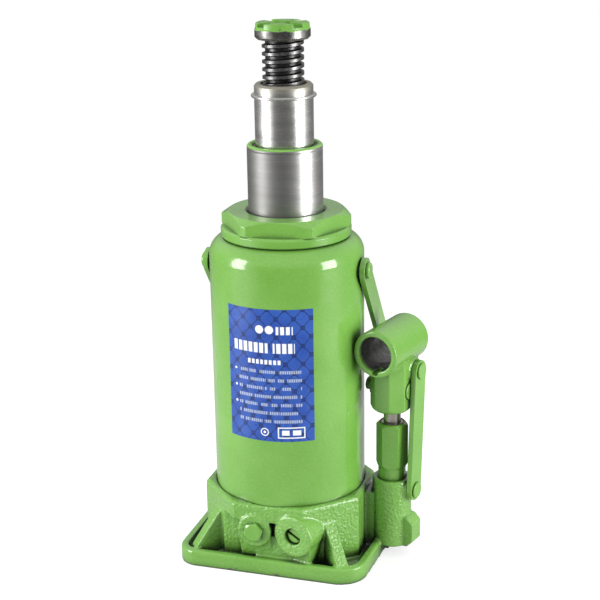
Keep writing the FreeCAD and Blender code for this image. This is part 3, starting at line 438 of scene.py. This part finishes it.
class Sticker(Paint):
    """Printed vinyl. x and y are millimetres from the print's top left corner.

    Marks are placed by fractions of the print's width and height; radii, line widths and pitches
    are millimetres.
    """

    def __init__(self):
        super().__init__("sticker")
        low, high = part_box("label")
        left = math.radians(PRINT_MIDDLE - PRINT_SPAN / 2)
        at = self.add("ShaderNodeSeparateXYZ", {0: self.at}).outputs
        turn = self.math("ARCTAN2", at["Y"], at["X"])
        self.x = self.times(self.minus(turn, left), PRINT_RADIUS)
        self.y = self.times(self.minus(high.z, at["Z"]), MILLIMETRES)
        self.wide = math.radians(PRINT_SPAN) * PRINT_RADIUS
        self.tall = (high.z - low.z) * MILLIMETRES

    def within(self, value, middle, half):
        return self.math("COMPARE", value, middle, half)

    def any_of(self, marks):
        total = marks[0]
        for mark in marks[1:]:
            total = self.math("MAXIMUM", total, mark)
        return total

    def length(self, dx, dy):
        return self.math("SQRT", self.plus(self.times(dx, dx), self.times(dy, dy)))

    def bar(self, x0, x1, y0, y1):
        across = self.within(self.x, self.wide * (x0 + x1) / 2, self.wide * (x1 - x0) / 2)
        down = self.within(self.y, self.tall * (y0 + y1) / 2, self.tall * (y1 - y0) / 2)
        return self.times(across, down)

    def ring(self, x, y, r, half):
        out = self.length(self.minus(self.x, self.wide * x), self.minus(self.y, self.tall * y))
        return self.within(out, r, half)

    def dot(self, x, y, r):
        return self.ring(x, y, 0.0, r)

    def teeth(self, pitch, fill):
        """Evenly spaced upright strokes."""
        return self.math("LESS_THAN", self.math("FRACT", self.math("DIVIDE", self.x, pitch)), fill)

    def strokes(self, x0, x1, y0, y1, pitch, fill):
        return self.times(self.bar(x0, x1, y0, y1), self.teeth(pitch, fill))

    def rows(self, x0, x1, top, pitch, count):
        """Rows of plain dashes of uneven length."""
        first = self.tall * top
        place = self.math("DIVIDE", self.minus(self.y, first), pitch)
        seed = self.times(self.math("FLOOR", place), 7.31)
        where = self.add("ShaderNodeCombineXYZ", {0: self.times(self.x, 0.34), 1: seed}).outputs[0]
        dash = self.math("GREATER_THAN", self.noise(1.0, 0.0, where), 0.40)
        line = self.math("LESS_THAN", self.math("FRACT", place), 0.38)
        area = self.bar(x0, x1, top, top + pitch * count / self.tall)
        return self.times(self.times(self.times(dash, line), area), self.teeth(1.3, 0.66))

    def lattice(self, wide, tall):
        """Open mesh of crossing wires with a small eye at every crossing."""
        wire = 0.026
        across = self.math("DIVIDE", self.x, wide)
        down = self.math("DIVIDE", self.y, tall)
        a = self.minus(self.math("FRACT", self.plus(across, down)), 0.5)
        b = self.minus(self.math("FRACT", self.minus(across, down)), 0.5)
        from_eye = self.length(self.times(self.plus(a, b), wide / 2), self.times(self.minus(a, b), tall / 2))
        eye = self.within(from_eye, 1.15, 0.22)
        return self.any_of([self.within(a, 0.0, wire), self.within(b, 0.0, wire), eye])


def sticker():
    """Blue vinyl with a mesh background, dots, bars and dashes."""
    m = Sticker()
    frame_line = m.math(
        "SUBTRACT",
        m.bar(0.62, 0.95, 0.888, 0.975),
        m.bar(0.635, 0.935, 0.897, 0.966),
        clamp=True,
    )
    bold = m.any_of([
        m.dot(0.42, 0.150, 2.5),
        m.dot(0.54, 0.150, 2.5),
        m.strokes(0.62, 0.82, 0.125, 0.185, 3.3, 0.70),
        m.strokes(0.06, 0.52, 0.250, 0.325, 3.4, 0.72),
        m.strokes(0.58, 0.84, 0.250, 0.325, 3.4, 0.72),
        m.strokes(0.26, 0.68, 0.376, 0.410, 2.6, 0.66),
        m.dot(0.085, 0.468, 0.75),
        m.dot(0.085, 0.594, 0.75),
        m.dot(0.085, 0.720, 0.75),
        m.ring(0.46, 0.930, 2.2, 0.32),
        m.dot(0.46, 0.930, 0.8),
        frame_line,
        m.bar(0.67, 0.76, 0.912, 0.951),
        m.bar(0.80, 0.90, 0.912, 0.951),
    ])
    faint = m.rows(0.13, 0.92, 0.455, 5.1, 7)
    tone = m.mottle(PRINT_BLUE, 70.0, 4.0)
    tone = m.mix(m.times(m.lattice(10.2, 11.0), 0.94), tone, PRINT_MESH)
    tone = m.mix(m.times(faint, 0.66), tone, PRINT_FAINT)
    return m.show(
        Base_Color=m.mix(bold, tone, PRINT_WHITE),
        Roughness=m.patchy(0.22, 0.34, 120.0),
        Normal=m.bump(m.noise(160.0, 2.0), 0.00008, 0.35),
    )


# ---------------------------------------------------------------- give each node its finish


def finish_nodes():
    """Every CAD node's material, each node listed once."""
    outer_top, inner_top = top_of("outer_ram"), top_of("inner_ram")
    outer_steel = turned_steel(
        "outer_ram_steel",
        OUTER_RAM_STEEL,
        rough=0.31,
        lines=2600,
        painted_from=(outer_top - 0.0008, outer_top - 0.0005),
        dull_shaded_side=-30,
    )
    inner_steel = turned_steel(
        "inner_ram_steel",
        INNER_RAM_STEEL,
        rough=0.25,
        lines=3600,
        stained_from=(inner_top - 0.0064, inner_top),
    )
    ball_steel = turned_steel("ball_steel", BALL_STEEL, rough=0.10, lines=1800)
    finishes = (
        (cast_paint(), ("base_casting",)),
        (smooth_paint(), (
            "reservoir_tube", "link_strap", "carry_handle", "carry_handle_rivets",
            "link_low_pin", "link_top_pin", "plunger_pin",
        )),
        (smooth_paint("nut_paint", 0.0008), ("top_nut",)),
        (smooth_paint("plug_paint", 0.0005), ("relief_plug", "release_stem")),
        (smooth_paint("pump_paint", 0.0006, bare_hex_rim), ("pump_cylinder",)),
        (smooth_paint("socket_paint", 0.0007, bare_bore), ("handle_socket",)),
        (outer_steel, ("outer_ram",)),
        (inner_steel, ("inner_ram", "inner_stop_ring")),
        (ball_steel, ("relief_ball", "release_ball", "suction_ball", "delivery_ball")),
        (raw_steel(), (
            "pressure_cylinder", "outer_ram_piston", "screw_stop_ring", "pump_wiper",
            "plunger_pin_washer", "split_pin", "relief_spring",
        )),
        (raw_steel("plunger_steel", 0.55, PLUNGER_STEEL), ("plunger",)),
        (black_oxide(), ("extension_screw",)),
        (saddle_finish(), ("saddle",)),
        (rubber(), (
            "rod_seal", "rod_wiper", "outer_piston_seal", "inner_piston_seal",
            "plunger_seal", "release_seal", "filler_plug",
        )),
        (fibre(), ("reservoir_gasket",)),
        (copper(), ("cylinder_gasket", "pump_gasket")),
        (sticker(), ("label",)),
    )
    for material, names in finishes:
        for name in names:
            slots = nodes[name].data.materials
            slots.clear()
            slots.append(material)


def soften(name, voxel, rounds):
    """Blend a casting's inner corners and edges into small fillets."""
    remesh = nodes[name].modifiers.new("cast", "REMESH")
    remesh.mode = "VOXEL"
    remesh.voxel_size = voxel
    remesh.use_smooth_shade = True
    smooth = nodes[name].modifiers.new("fillets", "SMOOTH")
    smooth.factor = 0.5
    smooth.iterations = rounds


# ---------------------------------------------------------------- studio


def floor():
    """Pale round floor that fades into the white backdrop."""
    sink = 0.0002
    bpy.ops.mesh.primitive_circle_add(vertices=96, radius=0.75, fill_type="NGON", location=(0, 0, -sink))
    disc = bpy.context.object
    disc.name = "floor"
    m = Paint("floor_paper")
    m.show(
        Base_Color=m.mottle((grey(0.50), grey(0.54)), 14.0),
        Roughness=m.patchy(0.55, 0.7, 120.0),
        Alpha=m.fade(m.radius(), 0.30, 0.70),
        Emission_Color=grey(1.0),
        Emission_Strength=m.times(m.camera_ray(), 0.66),
    )
    disc.data.materials.append(m.mat)


def softbox(name, azimuth, low, high, wide, radiance):
    """Upright soft light round the jack, seen in the gloss but not by the camera."""
    away, tall = 1.4, high - low
    data = bpy.data.lights.new(name, "AREA")
    data.shape = "RECTANGLE"
    data.size = wide
    data.size_y = tall
    data.energy = radiance * math.pi * wide * tall
    lamp = bpy.data.objects.new(name, data)
    lamp.location = heading(azimuth) * away + Vector((0, 0, (low + high) / 2))
    lamp.rotation_mode = "QUATERNION"
    lamp.rotation_quaternion = (heading(azimuth) * -1).to_track_quat("-Z", "Y")
    lamp.visible_camera = False
    bpy.context.collection.objects.link(lamp)


def surroundings():
    """White to the camera; to the jack, bright panels at its sides and a dim front."""
    # From straight behind the jack, 0, to the camera's side, 1: how bright the room is.
    panels = ((0.0, 0.22), (0.25, 0.24), (0.46, 0.50), (0.60, 1.20), (0.74, 1.20), (0.88, 0.20), (1.0, 0.12))
    ceiling, strength = 0.84, 2.0
    world = bpy.data.worlds.new("studio")
    bpy.context.scene.world = world
    world.use_nodes = True
    w = Tree(world.node_tree)
    w.tree.nodes.clear()
    ray = w.add("ShaderNodeTexCoord").outputs["Generated"]
    level = w.vector("NORMALIZE", w.vector("MULTIPLY", ray, (1, 1, 0)))
    facing = w.vector("DOT_PRODUCT", level, heading(CAMERA_AZIMUTH))
    place = w.add("ShaderNodeMapRange", {"Value": facing, "From Min": -1.0, "From Max": 1.0}).outputs[0]
    around = w.add("ShaderNodeValToRGB", {"Fac": place})
    stops = around.color_ramp.elements
    while len(stops) < len(panels):
        stops.new(0.5)
    for stop, (where, bright) in zip(stops, panels):
        stop.position = where
        stop.color = (*grey(bright / strength), 1.0)
    high = w.add("ShaderNodeSeparateXYZ", {0: ray}).outputs["Z"]
    up = w.add("ShaderNodeMapRange", {"Value": high, "From Min": 0.05, "From Max": 0.55}).outputs[0]
    glow = w.mix(up, around.outputs["Color"], grey(ceiling / strength))
    light = w.add("ShaderNodeBackground", {"Color": glow, "Strength": strength})
    white = w.add("ShaderNodeBackground", {"Color": grey(1.0), "Strength": 1.0})
    both = w.add("ShaderNodeMixShader", {0: w.camera_ray(), 1: light.outputs[0], 2: white.outputs[0]})
    w.add("ShaderNodeOutputWorld", {0: both.outputs[0]})


def camera():
    """Camera in front and to the right of the jack, looking down on it a little."""
    data = bpy.data.cameras.new("camera")
    data.lens = LENS_MM
    data.sensor_width = SENSOR_MM
    thing = bpy.data.objects.new("camera", data)
    bpy.context.collection.objects.link(thing)
    where = heading(CAMERA_AZIMUTH) * CAMERA_AWAY + Vector((0, 0, CAMERA_HIGH))
    turns = ((CAMERA_YAW, "Z"), (90 - CAMERA_DOWN, "X"), (CAMERA_ROLL, "Z"))
    yaw, pitch, roll = (Matrix.Rotation(math.radians(angle), 4, axis) for angle, axis in turns)
    thing.matrix_world = Matrix.Translation(where) @ yaw @ pitch @ roll
    bpy.context.scene.camera = thing


finish_nodes()
soften("base_casting", 0.0006, 4)
soften("handle_socket", 0.00045, 5)
floor()
softbox("softbox_left", CAMERA_AZIMUTH - 75, -0.06, 1.05, 0.54, 11.0)
softbox("softbox_right", CAMERA_AZIMUTH + 64, -0.12, 0.80, 0.58, 11.0)
surroundings()
camera()
bpy.context.scene.view_settings.view_transform = "Standard"
bpy.context.scene.view_settings.look = "None"
